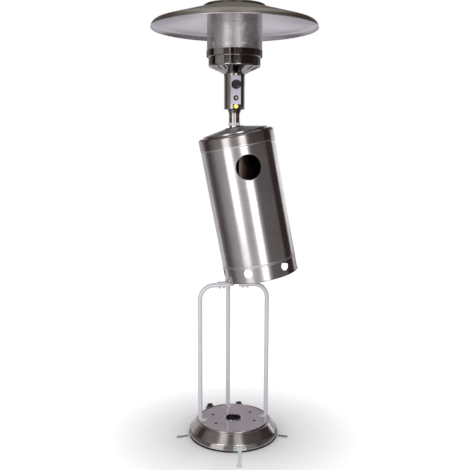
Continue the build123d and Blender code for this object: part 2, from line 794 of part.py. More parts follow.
# Burner inside the screen
def make_burner():
    rim = housing_r - sheet - weld
    line = [(11 + weld, support_z), (rim, support_z), (rim, housing_top)]
    with BuildPart() as support:
        add(spun_sheet(line, 2, sheet))
        with Locations(*[(x, lead_y, support_z) for x in (-14, 0, 14)]):
            Cylinder(3.2, 6 * sheet, mode=Mode.SUBTRACT)
    save(support, "burner_support")

    jet_bottom = support_z + sheet
    with BuildPart() as jet:
        with BuildSketch(Plane.XY.offset(jet_bottom)):
            RegularPolygon(6, 6)
        extrude(amount=6)
        with BuildSketch(Plane.XY.offset(jet_bottom + 6)):
            Circle(3.5)
        extrude(amount=7, taper=12)
    save(jet, "injector")

    with BuildPart() as mixer:
        with BuildSketch(Plane.XY.offset(jet_bottom)):
            Circle(tube_r)
            Circle(tube_r - 1.5, mode=Mode.SUBTRACT)
        extrude(amount=drum_z + 6 - jet_bottom)
        with BuildSketch(Plane.XY.offset(jet_bottom)):
            Circle(tube_r + 5)
            Circle(tube_r - 1.5, mode=Mode.SUBTRACT)
        extrude(amount=2)
        with BuildSketch(Plane.XY.offset(drum_z - 2)):
            Circle(tube_r + 5)
            Circle(tube_r - 1.5, mode=Mode.SUBTRACT)
        extrude(amount=2)
        for azimuth in (0, 90, 180, 270):
            side_hole(Plane.XY, azimuth, tube_r, jet_bottom + 12, 4.5, 4)
    save(mixer, "burner_tube")

    line = [(tube_r + weld, drum_z), (drum_r, drum_z), (drum_r, drum_z + drum_h), (0, drum_z + drum_h)]
    with BuildPart() as drum:
        add(spun_sheet(line, [6, 6], sheet))
        for k in range(18):
            side_hole(Plane.XY, 20 * k, drum_r, drum_z + 0.6 * drum_h, 3, 4)
    save(drum, "burner_drum")

    with BuildPart() as bracket:
        with BuildSketch(Plane.XY.offset(drum_z - 2)):
            with Locations((0, -drum_r)):
                Rectangle(lead_plate_width, 4 * lead_reach)
            with Locations(*[(x, -drum_r - lead_reach) for x in (-14, 0, 14)]):
                Circle(2.6, mode=Mode.SUBTRACT)
        extrude(amount=2)
    save(bracket, "pilot_bracket")
    probe_top = drum_z + drum_h - 8
    routes = {"thermocouple": (-14, 1.8), "pilot_tube": (0, 2.4), "spark_electrode": (14, 2.2)}
    for name, (x, r) in routes.items():
        y_out = -drum_r - lead_reach
        low = knob_z + 21 if name != "spark_electrode" else support_z + 10
        turn = drum_z - 40
        with BuildPart() as lead:
            with BuildLine(Plane.YZ.offset(x)):
                FilletPolyline((lead_y, low), (lead_y, turn), (y_out, turn), (y_out, probe_top), radius=12)
            with BuildSketch(Plane(origin=(x, lead_y, low))):
                Circle(r)
            sweep()
        save(lead, name)


# Bottle cover: rolled shell, spun cap and shallow lid, tipped about the lid's hole
def make_cover():
    f = cover_frame
    with BuildPart() as shell:
        with BuildSketch(turned_plane(f, 0)):
            with Locations((cover_r - cover_wall / 2, -(cover_len + shoulder_drop + shoulder_bend) / 2)):
                Rectangle(cover_wall, cover_len - shoulder_drop - shoulder_bend - 2 * hem_r)
            with Locations((hem_ring_r, hem_r - cover_len)):
                Circle(hem_r)
            with Locations((cover_r - cover_wall / 2, 1.5 * hem_r - cover_len)):
                Rectangle(cover_wall, 3 * hem_r)
            with Locations(*[(cover_r - cover_wall / 2, -drop) for drop in bead_drops]):
                Circle(bead_bump)
        revolve(axis=Axis(f.origin, f.z_dir))
        side_hole(f, front, cover_r, -hand_drop, hand_r, 60)
        for k in range(vents):
            side_hole(f, front + 180 / vents + 360 / vents * k, cover_r, -vent_drop, vent_r, 20)
    save(shell, "cover_shell")

    cap_out = cover_r + fit + cover_wall
    line = [(cap_out, -cap_skirt), (cap_out, -shoulder_drop), (cap_open_r, -shoulder_drop)]
    with BuildPart() as cap:
        add(spun_sheet(line, shoulder_bend, cover_wall, f))
    save(cap, "cover_cap")

    line = [(lid_r, -shoulder_drop), (lid_r, lid_lip - shoulder_drop), (lid_flat_r, 0), (lid_hole_r, 0)]
    with BuildPart() as lid:
        add(spun_sheet(line, [2.5, 6], cover_wall, f))
    save(lid, "cover_lid")

    with BuildPart() as grommet:
        with BuildSketch(turned_plane(f, 0)):
            with Locations(((grommet_hole_r + grommet_r) / 2, -cover_wall / 2)):
                RectangleRounded(grommet_r - grommet_hole_r, 2 * grommet_half, 2)
            with Locations(((lid_hole_r - fit + grommet_r) / 2 + 1, -cover_wall / 2)):
                Rectangle(grommet_r - lid_hole_r + fit + 2, cover_wall + 2 * fit, mode=Mode.SUBTRACT)
        revolve(axis=Axis(f.origin, f.z_dir))
    save(grommet, "lid_grommet")

    with BuildPart() as trim:
        with BuildSketch(radial_plane(f, front, 0, -hand_drop)):
            Circle(hand_r + 2.5)
            Circle(hand_r - 2.5, mode=Mode.SUBTRACT)
        extrude(amount=cover_r + 10)
        with BuildSketch(turned_plane(f, 0)):
            with Locations((cover_r - cover_wall / 2, -hand_drop)):
                Rectangle(cover_wall + 2 * fit + 2.4, 3 * hand_r)
        revolve(axis=Axis(f.origin, f.z_dir), mode=Mode.INTERSECT)
        with BuildPart(mode=Mode.PRIVATE) as room:
            with BuildSketch(turned_plane(f, 0)):
                with Locations((cover_r - cover_wall / 2, -hand_drop)):
                    Rectangle(cover_wall + 2 * fit, 3 * hand_r)
            revolve(axis=Axis(f.origin, f.z_dir))
            with BuildSketch(radial_plane(f, front, 0, -hand_drop)):
                Circle(hand_r - fit)
            extrude(amount=cover_r + 10, mode=Mode.SUBTRACT)
        add(room.part, mode=Mode.SUBTRACT)
    save(trim, "hand_hole_trim")


# Wheels behind the base, on an axle held by a bracket
def make_wheels():
    web_in = base_r + fit
    arm = bracket_arm_x + bracket_t / 2
    with BuildPart() as bracket:
        with BuildSketch(Plane.XY.offset(bracket_low)):
            Circle(web_in + bracket_t)
            Circle(web_in, mode=Mode.SUBTRACT)
            with Locations((0, web_in)):
                Rectangle(2 * arm, web_in, mode=Mode.INTERSECT)
        extrude(amount=bracket_high - bracket_low)
        for x in (-bracket_arm_x, bracket_arm_x):
            with BuildSketch(Plane.YZ.offset(x - bracket_t / 2)):
                with Locations((wheel_y, wheel_z)):
                    Circle(11)
                with Locations((sqrt(web_in**2 - arm**2), (bracket_low + bracket_high) / 2)):
                    Rectangle(3 * bracket_t, bracket_high - bracket_low)
                make_hull()
                with Locations((wheel_y, wheel_z)):
                    Circle(axle_r + weld, mode=Mode.SUBTRACT)
            extrude(amount=bracket_t)
        with Locations((0, 0, bracket_low)):
            Cylinder(web_in, 4 * bracket_high, mode=Mode.SUBTRACT)
        for azimuth in side_screw_azimuths()[-2:]:
            side_hole(Plane.XY, azimuth, web_in + bracket_t, side_screw_z, side_screw_r + weld, 3 * bracket_t)
    save(bracket, "wheel_bracket")

    inner = arm + 0.8
    outer = wheel_x + wheel_width / 2 + 3
    with BuildPart() as axle:
        with BuildSketch(Plane.YZ.offset(-outer - 6)):
            with Locations((wheel_y, wheel_z)):
                Circle(axle_r)
        extrude(amount=2 * (outer + 6))
    save(axle, "wheel_axle")
    for name, side in (("wheel_left", -1), ("wheel_right", 1)):
        start = inner if side > 0 else -outer
        with BuildPart() as wheel:
            with BuildSketch(Plane.YZ.offset(start)):
                with Locations((wheel_y, wheel_z)):
                    Circle(10)
            extrude(amount=outer - inner)
            with BuildSketch(Plane.YZ.offset(side * wheel_x - wheel_width / 2)):
                with Locations((wheel_y, wheel_z)):
                    Circle(wheel_r)
            extrude(amount=wheel_width)
            fillet(wheel.edges().filter_by(GeomType.CIRCLE).sort_by(SortBy.RADIUS)[-2:], 4)
            for plane_x in (side * wheel_x - wheel_width / 2, side * wheel_x + wheel_width / 2):
                with BuildSketch(Plane.YZ.offset(plane_x)):
                    with Locations((wheel_y, wheel_z)):
                        Circle(wheel_r - 6)
                        Circle(10, mode=Mode.SUBTRACT)
                extrude(amount=5 if plane_x < side * wheel_x else -5, mode=Mode.SUBTRACT)
            with BuildSketch(Plane.YZ.offset(start - 1)):
                with Locations((wheel_y, wheel_z)):
                    Circle(axle_r + run)
            extrude(amount=outer - inner + 2, mode=Mode.SUBTRACT)
        save(wheel, name)
    with BuildPart() as caps:
        for plane_x, way in ((outer + 0.5, 1), (-outer - 0.5, -1)):
            with BuildSketch(Plane.YZ.offset(plane_x)):
                with Locations((wheel_y, wheel_z)):
                    Circle(8)
            extrude(amount=way * 8)
            with BuildSketch(Plane.YZ.offset(plane_x)):
                with Locations((wheel_y, wheel_z)):
                    Circle(axle_r + weld)
            extrude(amount=way * (5.5 + weld), mode=Mode.SUBTRACT)
    save(caps, "axle_caps")


def make_anchor(name):
    """A strap with an eye that lies on the floor, turned up and screwed to the base's band."""
    angle = anchor_angles[name]
    reach = anchor_reaches[name]
    frame = Plane(origin=(0, 0, 0), x_dir=(*polar(1, angle), 0), z_dir=(0, 0, 1))
    inner = base_r + fit
    face = inner + anchor_plate_t
    root = face + anchor_root
    with BuildPart() as anchor:
        with BuildSketch(turned_plane(frame, 0)):
            with BuildLine():
                end = root + reach + 2 * eye_r
                FilletPolyline((face, bracket_high - 3), (face, 0), (end, 0), radius=anchor_root)
                offset(amount=anchor_t, side=Side.LEFT)
            make_face()
        extrude(amount=reach + eye_r, both=True)
        with BuildSketch(frame):
            with Locations(Location((root, 0), anchor_swings[name])):
                Circle(anchor_half)
                with Locations((reach, 0)):
                    Circle(anchor_neck)
            make_hull()
            with Locations((face, 0)):
                Rectangle(2 * anchor_root, 2 * anchor_half)
            with Locations(Location((root, 0), anchor_swings[name])):
                with Locations((reach, 0)):
                    Circle(eye_r)
                    Circle(eye_hole_r, mode=Mode.SUBTRACT)
        extrude(amount=2 * bracket_high, mode=Mode.INTERSECT)
        with BuildSketch(frame.offset(bracket_low)):
            Circle(face)
            Circle(inner, mode=Mode.SUBTRACT)
            with Locations((face, 0)):
                Rectangle(face, 2 * (anchor_screw_x + 9), mode=Mode.INTERSECT)
        extrude(amount=bracket_high - 3 - bracket_low)
        step = anchor_screw_x / base_r * 180 / 3.14159265
        for side in (-1, 1):
            side_hole(Plane.XY, angle + side * step, face, side_screw_z, side_screw_r + weld, 3 * anchor_plate_t)
    save(anchor, name)


make_base()
make_side_screws()
for post_name, post_angle in post_angles.items():
    make_post(post_name, post_angle)
make_foot_bolts()
make_hub()
make_pole()
make_neck()
make_housing()
make_bowl()
make_reflector()
make_valve()
make_igniter()
make_gas_line()
make_tilt_switch()
make_burner()
make_cover()
make_wheels()
for anchor_name in anchor_angles:
    make_anchor(anchor_name)
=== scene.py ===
"""Gas patio heater with its bottle cover raised and tipped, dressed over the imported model.

Metres, +Z up, the controls face -Y. The sections follow the heater from the floor up.
"""

from math import cos, radians, sin

import bpy
from mathutils import Matrix, Vector


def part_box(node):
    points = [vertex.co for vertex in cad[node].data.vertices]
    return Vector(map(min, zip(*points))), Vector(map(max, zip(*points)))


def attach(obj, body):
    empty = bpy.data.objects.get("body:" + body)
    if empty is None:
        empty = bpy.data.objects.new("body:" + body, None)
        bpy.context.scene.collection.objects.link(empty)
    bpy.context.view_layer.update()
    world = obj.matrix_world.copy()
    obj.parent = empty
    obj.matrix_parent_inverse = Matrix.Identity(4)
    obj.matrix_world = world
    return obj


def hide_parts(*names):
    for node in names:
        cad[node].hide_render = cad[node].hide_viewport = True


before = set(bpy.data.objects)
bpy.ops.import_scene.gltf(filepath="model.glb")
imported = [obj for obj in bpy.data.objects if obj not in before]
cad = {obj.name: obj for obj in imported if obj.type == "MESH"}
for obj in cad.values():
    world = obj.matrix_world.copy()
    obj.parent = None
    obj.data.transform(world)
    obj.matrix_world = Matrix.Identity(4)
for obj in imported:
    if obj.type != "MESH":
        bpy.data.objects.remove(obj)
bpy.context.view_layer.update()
bpy.ops.object.select_all(action="DESELECT")


# Camera
# It stands 3.3 m from the pole at 1.52 m height, ten degrees to the left of the controls,
# and looks slightly down. The lens is found from the photograph's width of 470 pixels.
turned = radians(-10.0)
distance, height = 3.3071, 1.5166
down, aside, rolled = radians(7.925), radians(0.093), radians(-0.217)
focal_pixels, picture_pixels, sensor_mm = 658.26, 470, 36.0
right = Vector((cos(aside), -sin(aside), 0))
forward = Vector((sin(aside) * cos(down), cos(aside) * cos(down), -sin(down)))
upward = Vector((sin(aside) * sin(down), cos(aside) * sin(down), cos(down)))
right, upward = (
    right * cos(rolled) - upward * sin(rolled),
    right * sin(rolled) + upward * cos(rolled),
)
camera_data = bpy.data.cameras.new("camera")
camera_data.sensor_width = sensor_mm
camera_data.lens = focal_pixels / picture_pixels * sensor_mm
camera_data.clip_end = 60.0
camera = bpy.data.objects.new("camera", camera_data)
bpy.context.scene.collection.objects.link(camera)
camera.matrix_world = (
    Matrix.Rotation(turned, 4, "Z")
    @ Matrix.Translation((0, -distance, height))
    @ Matrix((right, upward, -forward)).transposed().to_4x4()
)
bpy.context.scene.camera = camera


# Room and floor
# A white room over a pale painted floor. The room is white wherever the camera or polished steel
# sees it, and lights the heater at a plain level. The floor keeps the heater's soft shadow and
# whitens away from it.
def linear(code):
    """The linear colour of an sRGB hex code such as a0b0c0."""
    parts = [int(code[i : i + 2], 16) / 255 for i in (0, 2, 4)]
    return [p / 12.92 if p <= 0.04045 else ((p + 0.055) / 1.055) ** 2.4 for p in parts] + [1.0]


def feed(node, inputs):
    """Fills a node's inputs: a socket is linked, and any other value is set on the input itself."""
    for name, value in inputs.items():
        if isinstance(value, bpy.types.NodeSocket):
            node.id_data.links.new(value, node.inputs[name])
        else:
            node.inputs[name].default_value = value


def add_node(tree, kind, inputs=None, out=0, **settings):
    """Adds a shader node with its inputs and settings, and gives back its output."""
    made = tree.nodes.new("ShaderNode" + kind)
    for name, value in settings.items():
        setattr(made, name, value)
    feed(made, inputs or {})
    return made.outputs[out] if made.outputs else None


def new_material(name):
    """A material, with its node tree, its shader and the coordinates of the piece that has it."""
    made = bpy.data.materials.new(name)
    made.use_nodes = True
    tree = made.node_tree
    place = add_node(tree, "TexCoord", out="Object")
    return made, tree, tree.nodes["Principled BSDF"], place


plain_level = 0.72  # the room's strength for all that isn't a mirror
room = bpy.data.worlds.new("white_room")
bpy.context.scene.world = room
room.use_nodes = True
tree = room.node_tree
tree.nodes.clear()
seen = add_node(tree, "LightPath", out="Is Camera Ray")
for ray in ("Is Glossy Ray", "Is Transmission Ray"):
    other = add_node(tree, "LightPath", out=ray)
    seen = add_node(tree, "Math", {0: seen, 1: other}, operation="MAXIMUM")
level = add_node(tree, "MapRange", {"Value": seen, "To Min": plain_level, "To Max": 1.0})
glow = add_node(tree, "Background", {"Color": (1, 1, 1, 1), "Strength": level})
add_node(tree, "OutputWorld", {"Surface": glow})

floor_size = 24.0
shadow_reach, white_reach, floor_glow = 0.23, 0.75, 0.45
bpy.ops.mesh.primitive_plane_add(size=floor_size, location=(0, 0, 0))
floor = bpy.context.object
floor.name = "studio_floor"
floor_paint, tree, shader, place = new_material("matt_floor_paint")
reach = add_node(tree, "VectorMath", {0: place}, "Value", operation="LENGTH")
white = {"Value": reach, "From Min": shadow_reach, "From Max": white_reach, "To Max": floor_glow}
white = add_node(tree, "MapRange", white)
seen = add_node(tree, "LightPath", out="Is Camera Ray")
white = add_node(tree, "Math", {0: white, 1: seen}, operation="MULTIPLY")
feed(shader, {"Base Color": linear("f1f0f2"), "Roughness": 0.9})
feed(shader, {"Emission Color": (1, 1, 1, 1), "Emission Strength": white})
floor.data.materials.append(floor_paint)


# Soft boxes
# Two tall soft boxes stand in front of the heater, one to the left and one nearly straight ahead.
# They draw the two bright bands that run up every round piece.
lamp_reach, lamp_height, lamp_middle = 3.4, 2.1, 1.15


def soft_box(name, azimuth, width, watts):
    """A tall area lamp at an azimuth from the front, in degrees, that faces the pole."""
    data = bpy.data.lights.new(name, "AREA")
    data.shape = "RECTANGLE"
    data.size, data.size_y, data.energy = width, lamp_height, watts
    made = bpy.data.objects.new(name, data)
    bpy.context.scene.collection.objects.link(made)
    a = radians(azimuth)
    made.location = (lamp_reach * sin(a), -lamp_reach * cos(a), lamp_middle)
    made.rotation_euler = (radians(90), 0, a)
    made.visible_camera = False


soft_box("left_soft_box", -42, 1.15, 15)
soft_box("front_soft_box", 7, 1.05, 14)


# Felt screens
# Curved screens of grey and dark felt hang round the room, over it and on the floor in front. Only
# polished surfaces see them, as dark bands between the bright ones.
def felt(name, start, stop, low, high, tone):
    """A screen between two azimuths, from one radius and height to another, that only mirrors see."""
    bpy.ops.object.select_all(action="DESELECT")
    bpy.ops.mesh.primitive_grid_add(x_subdivisions=12, y_subdivisions=1, size=1)
    made = bpy.context.object
    made.name = name
    for point in made.data.vertices:
        a, share = radians(start + (stop - start) * (point.co.x + 0.5)), point.co.y + 0.5
        out = low[0] + (high[0] - low[0]) * share
        point.co = (out * sin(a), -out * cos(a), low[1] + (high[1] - low[1]) * share)
    cloth = bpy.data.materials.new(name)
    cloth.use_nodes = True
    tree = cloth.node_tree
    tree.nodes.clear()
    warm_grey = (tone + 0.014, tone, tone - 0.001, 1.0)  # a trace of red, as the steel shows
    shade = add_node(tree, "Emission", {"Color": warm_grey, "Strength": 1.0})
    add_node(tree, "OutputMaterial", {"Surface": shade})
    cloth.cycles.emission_sampling = "NONE"
    made.data.materials.append(cloth)
    made.visible_camera = made.visible_diffuse = made.visible_shadow = False


wall_reach, wall_foot, frieze_foot, valance_foot, ceiling_height = 5.5, -0.5, 2.4, 2.95, 5.0
middle_reach, carpet_reach, rug_reach = 2.5, 0.6, 0.242  # where ceiling, carpets and rugs begin
carpet_height, rug_height = 0.004, 0.003
# Each bay of the room: its azimuths, then how grey its wall, frieze, valance, carpet and ceiling are.
for bay, start, stop, wall, frieze, valance, carpet, ceiling in (
    ("far_left_back", -175, -135, 0.55, 0.20, 0.20, None, 0.05),
    ("far_left", -135, -122, 0.20, 0.08, 0.08, 0.16, 0.06),
    ("left_shadow", -122, -103, 0.06, 0.015, 0.05, 0.09, 0.10),
    ("left_edge", -103, -90, 0.15, 0.33, 0.15, 0.18, 0.12),
    ("left_grey", -90, -74, 0.28, 0.42, 0.22, 0.33, 0.14),
    ("left_pale", -74, -56, 0.38, 0.42, 0.20, 0.42, 0.14),
    ("left_lamp", -56, -32, None, 0.10, 0.04, 0.90, 1.0),
    ("left_gap", -32, -26, None, 0.42, 0.10, 0.60, 0.30),
    ("centre", -26, -12, 0.50, 0.006, 0.05, 0.45, 0.10),
    ("centre_edge", -12, -7, 0.50, 0.14, 0.05, 0.45, 0.10),
    ("front_lamp", -7, 18, None, 0.06, 0.045, 0.80, 0.75),
    ("right_gap", 18, 26, 0.30, 0.02, 0.06, 0.30, 0.14),
    ("right", 26, 80, 0.14, 0.016, 0.08, 0.12, 0.08),
    ("far_right", 80, 115, 0.024, 0.045, 0.03, 0.06, 0.05),
    ("back_right", 115, 185, None, 0.15, 0.15, None, 0.05),
):
    for kind, low, high, tone in (
        ("frieze", (wall_reach, frieze_foot), (wall_reach, valance_foot), frieze),
        ("valance", (wall_reach, valance_foot), (wall_reach, ceiling_height), valance),
        ("ceiling", (middle_reach, ceiling_height), (wall_reach, ceiling_height), ceiling),
        ("wall", (wall_reach, wall_foot), (wall_reach, frieze_foot), wall),
        ("carpet", (carpet_reach, carpet_height), (wall_reach, carpet_height), carpet),
    ):
        if tone:
            felt(bay + "_" + kind, start, stop, low, high, tone)
# Rugs that cover the floor from the base to the carpets, for the base skirt to mirror.
for rug, start, stop, tone in (
    ("far_left", -135, -95, 0.14),
    ("left", -95, -44, 0.13),
    ("left_light", -44, -24, 0.90),
    ("centre", -24, -9, 0.20),
    ("front_light", -9, 9, 0.60),
    ("front", 9, 25, 0.24),
    ("right", 25, 115, 0.085),
):
    felt(rug + "_rug", start, stop, (rug_reach, rug_height), (carpet_reach, rug_height), tone)
felt("ceiling_middle", -180, 180, (0.01, ceiling_height), (middle_reach, ceiling_height), 0.5)
# Screens that stand a little in front of the wall behind the heater.
felt("back_strip", 163, 177, (5.4, wall_foot), (5.4, 1.6), 0.10)
felt("back_panel", 150, 190, (5.2, 1.6), (5.2, 3.2), 0.40)
felt("back_right_skirting", 115, 163, (5.4, wall_foot), (5.4, 0.65), 0.25)


# Base skirt
# One sheet of steel spun into a foot, a ledge that the cover stands on and a raised bead.
# It is brushed on the lathe and lacquered, so fine rings run round it.
def dress(node_names, material):
    """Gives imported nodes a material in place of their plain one."""
    for node_name in node_names:
        for slot in cad[node_name].material_slots:
            slot.material = material


def spun_metal(
    name, light, dark, rough, pitch, spread=0.75, depth=8e-6, wave=0.0,
    axis=(0, 0, 1), origin=(0, 0, 0),
):
    """Sheet metal turned round an axis: rings of tone and gloss, with a sheen that spreads across them.

    pitch is the rings' spacing and depth their depth, in metres. Real rings lie some tenths of a
    millimetre apart, and are drawn coarser to show. Handling dulls the metal in patches 125 mm wide.
    wave is how far a thin sheet is out of true, in swells 170 mm long.
    """
    metal, tree, shader, place = new_material(name)
    steep = 1.7  # rings show on flat faces and upright ones alike
    broken = (3, 3, 3)  # how much a ring's tone changes on its way round
    arm = add_node(tree, "VectorMath", {0: place, 1: origin}, operation="SUBTRACT")
    along = add_node(tree, "VectorMath", {0: arm, 1: axis}, "Value", operation="DOT_PRODUCT")
    across = add_node(tree, "VectorMath", {0: axis, 1: arm}, operation="CROSS_PRODUCT")
    reach = add_node(tree, "VectorMath", {0: across}, "Value", operation="LENGTH")
    way = add_node(tree, "Math", {0: reach, 1: steep, 2: along}, operation="MULTIPLY_ADD")
    way = add_node(tree, "Math", {0: way, 1: pitch}, operation="DIVIDE")
    way = add_node(tree, "VectorMath", {0: axis, "Scale": way}, operation="SCALE")
    side = add_node(tree, "VectorMath", {0: across}, operation="NORMALIZE")
    rings = add_node(tree, "VectorMath", {0: side, 1: broken, 2: way}, operation="MULTIPLY_ADD")
    rings = add_node(tree, "TexNoise", {"Vector": rings, "Scale": 1.0, "Detail": 3.0, "Roughness": 0.65})
    handled = add_node(tree, "TexNoise", {"Vector": place, "Scale": 8.0, "Detail": 3.0})
    both = add_node(tree, "Math", {0: rings, 1: handled}, operation="ADD")
    tone = add_node(tree, "MapRange", {"Value": both, "From Min": 0.7, "From Max": 1.3})
    tint = add_node(tree, "Mix", {0: tone, 6: linear(dark), 7: linear(light)}, 2, data_type="RGBA")
    gloss = add_node(tree, "MapRange", {"Value": tone, "To Min": rough + 0.05, "To Max": rough})
    bump = add_node(tree, "Bump", {"Height": rings, "Strength": 1.0, "Distance": depth})
    if wave:
        swell = add_node(tree, "TexNoise", {"Vector": place, "Scale": 6.0, "Detail": 1.0})
        swell = add_node(tree, "Bump", {"Height": swell, "Strength": 1.0, "Distance": wave})
        feed(bump.node, {"Normal": swell})
    facing = add_node(tree, "NewGeometry", out="Normal")
    turn = {"vector_type": "VECTOR", "convert_from": "OBJECT", "convert_to": "WORLD"}
    sweep = add_node(tree, "VectorTransform", {0: across}, **turn)
    sheen = add_node(tree, "VectorMath", {0: facing, 1: sweep}, operation="CROSS_PRODUCT")
    feed(shader, {"Base Color": tint, "Metallic": 1.0, "Roughness": gloss, "Normal": bump})
    feed(shader, {"Anisotropic": spread, "Tangent": sheen})
    return metal


dress(["base_shell"], spun_metal("spun_brushed_steel_base", "d6d1d1", "bdb6b4", 0.2, 0.0024))


# Edge strip
# An extruded strip of black rubber is pushed on the skirt's lower edge and keeps it off the
# ground. It is matt and finely grained, and dust lies on it in patches.
def rubber(name, shade, dust, grain):
    """Black rubber: matt, with a fine grain, and grey dust in patches 70 mm wide."""
    made, tree, shader, place = new_material(name)
    grit = add_node(tree, "TexNoise", {"Vector": place, "Scale": 1 / grain, "Detail": 2.0})
    soil = add_node(tree, "TexNoise", {"Vector": place, "Scale": 14.0, "Detail": 4.0})
    soil = add_node(tree, "MapRange", {"Value": soil, "From Min": 0.5, "From Max": 0.8})
    tint = add_node(tree, "Mix", {0: soil, 6: linear(shade), 7: linear(dust)}, 2, data_type="RGBA")
    gloss = add_node(tree, "MapRange", {"Value": grit, "To Min": 0.5, "To Max": 0.72})
    bump = add_node(tree, "Bump", {"Height": grit, "Strength": 0.6, "Distance": 6e-5})
    feed(shader, {"Base Color": tint, "Roughness": gloss, "Normal": bump, "IOR": 1.52})
    return made


dress(["base_edge_trim"], rubber("extruded_black_rubber", "1a1817", "3a3734", 0.0012))


# Bottle plate
# A flat disc of steel sheet that the gas bottle stands on, with a lipped hole in its middle.
# It is polished in circles, so it mirrors the posts softly.
plate_steel = spun_metal("circle_polished_plate_steel", "dad1db", "c4bcc5", 0.08, 0.003, spread=0.4)
dress(["base_plate"], plate_steel)


# Screws, bolts and nuts
# Cold-headed steel fasteners with a bright zinc plating. It is a little milky, and dulls in patches
# where it was handled.
def zinc_plate(name, bright, dull, patch, rough):
    """Zinc on steel: patches of slightly different tone and gloss, as the zinc's crystals lie."""
    metal, tree, shader, place = new_material(name)
    cells = add_node(tree, "TexVoronoi", {"Vector": place, "Scale": 1 / patch}, "Color")
    cells = add_node(tree, "SeparateXYZ", {0: cells})
    cloud = add_node(tree, "TexNoise", {"Vector": place, "Scale": 0.3 / patch, "Detail": 3.0})
    both = add_node(tree, "Math", {0: cells, 1: 0.4, 2: cloud}, operation="MULTIPLY_ADD")
    tone = add_node(tree, "MapRange", {"Value": both, "From Min": 0.35, "From Max": 1.0})
    tint = add_node(tree, "Mix", {0: tone, 6: linear(dull), 7: linear(bright)}, 2, data_type="RGBA")
    gloss = add_node(tree, "MapRange", {"Value": tone, "To Min": rough + 0.12, "To Max": rough})
    bump = add_node(tree, "Bump", {"Height": cloud, "Strength": 0.5, "Distance": 4e-5})
    feed(shader, {"Base Color": tint, "Metallic": 1.0, "Roughness": gloss, "Normal": bump})
    return metal


plated = zinc_plate("bright_zinc_plate", "dedcdb", "b9b6b3", 0.0015, 0.22)
dress(["base_screws", "foot_bolts", "foot_nuts", "hub_bolts", "hub_nuts"], plated)
dress(["neck_screws", "housing_screws"], plated)


# Bottle frame
# Three bent steel tubes stand on the plate and meet under the hub, a three-fingered pressing. All
# are coated in silver powder, baked to a fine orange peel that wears through at the edges.
def powder_coat(name, shade, cloudy, worn, flake):
    """Baked powder: a skin of low blisters, worn to the metal on sharp edges.

    The blisters are 2.2 mm wide and the clouds in its colour 90 mm. flake is the share of metal
    flake in it, which gives the silver its sheen.
    """
    coat, tree, shader, place = new_material(name)
    worn_reach = 0.0012  # how far from an edge the powder wears
    peel = add_node(tree, "TexNoise", {"Vector": place, "Scale": 1 / 0.0022, "Detail": 1.0})
    cloud = add_node(tree, "TexNoise", {"Vector": place, "Scale": 11.0, "Detail": 4.0})
    soft = add_node(tree, "Bevel", {"Radius": worn_reach}, samples=4)
    facing = add_node(tree, "NewGeometry", out="Normal")
    sharp = add_node(tree, "VectorMath", {0: soft, 1: facing}, "Value", operation="DOT_PRODUCT")
    sharp = add_node(tree, "MapRange", {"Value": sharp, "From Min": 0.97, "From Max": 0.85})
    chips = add_node(tree, "MapRange", {"Value": peel, "From Min": 0.5, "From Max": 0.62})
    bare = add_node(tree, "Math", {0: sharp, 1: chips}, operation="MULTIPLY")
    tint = add_node(tree, "Mix", {0: cloud, 6: linear(cloudy), 7: linear(shade)}, 2, data_type="RGBA")
    tint = add_node(tree, "Mix", {0: bare, 6: tint, 7: linear(worn)}, 2, data_type="RGBA")
    gloss = add_node(tree, "MapRange", {"Value": cloud, "To Min": 0.42, "To Max": 0.3})
    bump = add_node(tree, "Bump", {"Height": peel, "Strength": 0.7, "Distance": 5e-5})
    feed(shader, {"Base Color": tint, "Metallic": flake, "Roughness": gloss, "Normal": bump, "IOR": 1.5})
    return coat


grey_powder = powder_coat("silver_baked_powder", "e9e7ee", "dbd8e1", "9a9592", 0.25)
dress(["post_left", "post_right", "post_back", "hub"], grey_powder)


# Pole
# A steel tube, rolled and seam welded, stands on the hub in a round flange. Both are polished by a
# belt, which leaves faint lines.
polished = spun_metal("belt_polished_tube_steel", "dcd9d8", "c4c0be", 0.1, 0.004, spread=0.4)
dress(["pole", "pole_flange"], polished)


# Loose ring
# A short ring of turned steel rides loose on the pole above the cover's lid. It is the brightest
# piece, with a milky skin of tin that lies between metal and paint.
tinned = spun_metal("turned_tinned_steel", "f9f8f9", "ebe9ea", 0.4, 0.0012, spread=0.3)
feed(tinned.node_tree.nodes["Principled BSDF"], {"Metallic": 0.15})
dress(["pole_ring"], tinned)


# Neck
# A spun collar flares from the pole to the round housing, and is held by screws. It is polished
# to a mirror, which shows the dark screens beside the bright ones.
dress(["head_neck"], spun_metal("mirror_spun_steel", "b5afad", "958f8d", 0.09, 0.002, spread=0.6))


# Control housing
# A can of stainless sheet, rolled and welded at the back, with a notch for the panel.
# It is brushed round, so the light spreads up and down it.
can_steel = spun_metal("brushed_can_steel", "c1bbb8", "a39b96", 0.22, 0.0016, spread=0.8, depth=5e-6)
dress(["control_housing"], can_steel)


# Control panel
# A flat plate of satin sheet, folded at its sides and set into the housing behind its notch. It is
# brushed up and down, in arcs too wide to tell from straight lines.
panel_steel = spun_metal(
    "satin_panel_steel", "cdc9d8", "bbb7c8", 0.34, 0.0012, spread=0.6,
    axis=(0, 1, 0), origin=(0.4, 0, 1.75),
)
dress(["control_panel"], panel_steel)


